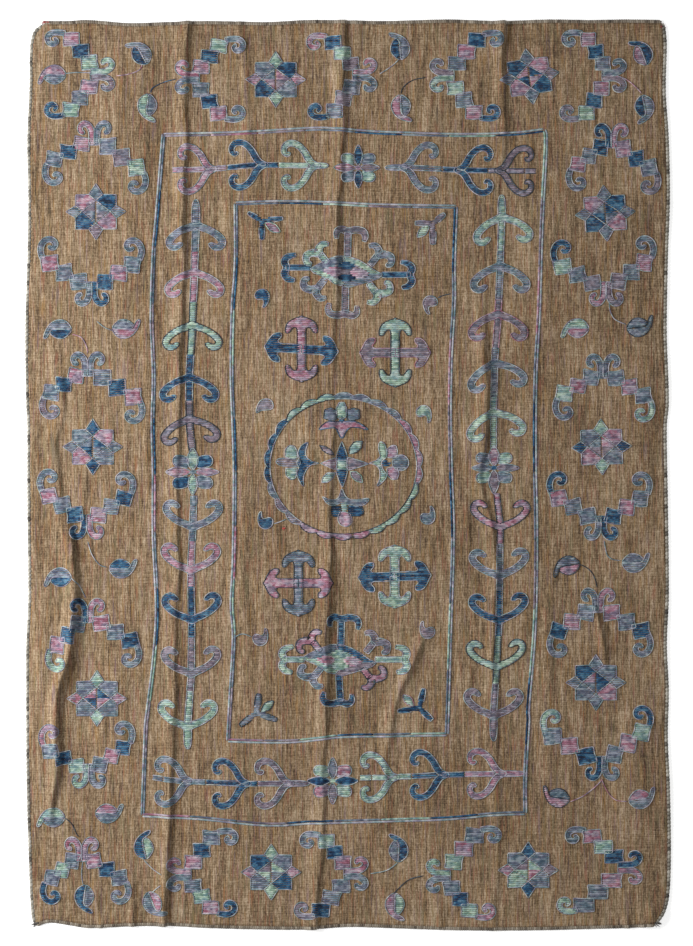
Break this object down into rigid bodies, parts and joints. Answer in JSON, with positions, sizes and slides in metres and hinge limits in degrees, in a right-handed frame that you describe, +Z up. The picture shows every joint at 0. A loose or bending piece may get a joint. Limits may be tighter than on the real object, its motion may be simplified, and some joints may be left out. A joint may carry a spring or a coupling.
{
  "type": "suzani kilim rug, laid flat",
  "caption": "Rectangular flat-woven wool rug lying on a floor in soft lengthwise folds, with an overcast woollen edging along all four sides.",
  "frame": {"origin": "on the floor, under the middle of the rug's bounding box", "axes": "+Z up out of the rug's face, +Y along the rug's length towards the end with the rounded left corner, +X across its width"},
  "size_m": [1.2621, 1.7799, 0.0208],
  "materials": {
    "ground_wool": "matt flat-woven wool, brown with darker and lighter streaks",
    "edging_wool": "matt wool yarn, grey-beige overcast stitches",
    "embroidery_wool": "satin wool and silk threads in blue, mint, slate, lilac and rose"
  },
  "bodies": {
    "root": {"kilim_panel": "ground_wool", "edging_left": "edging_wool", "edging_right": "edging_wool", "edging_bottom": "edging_wool", "edging_top": "edging_wool"}
  },
  "joints": []
}
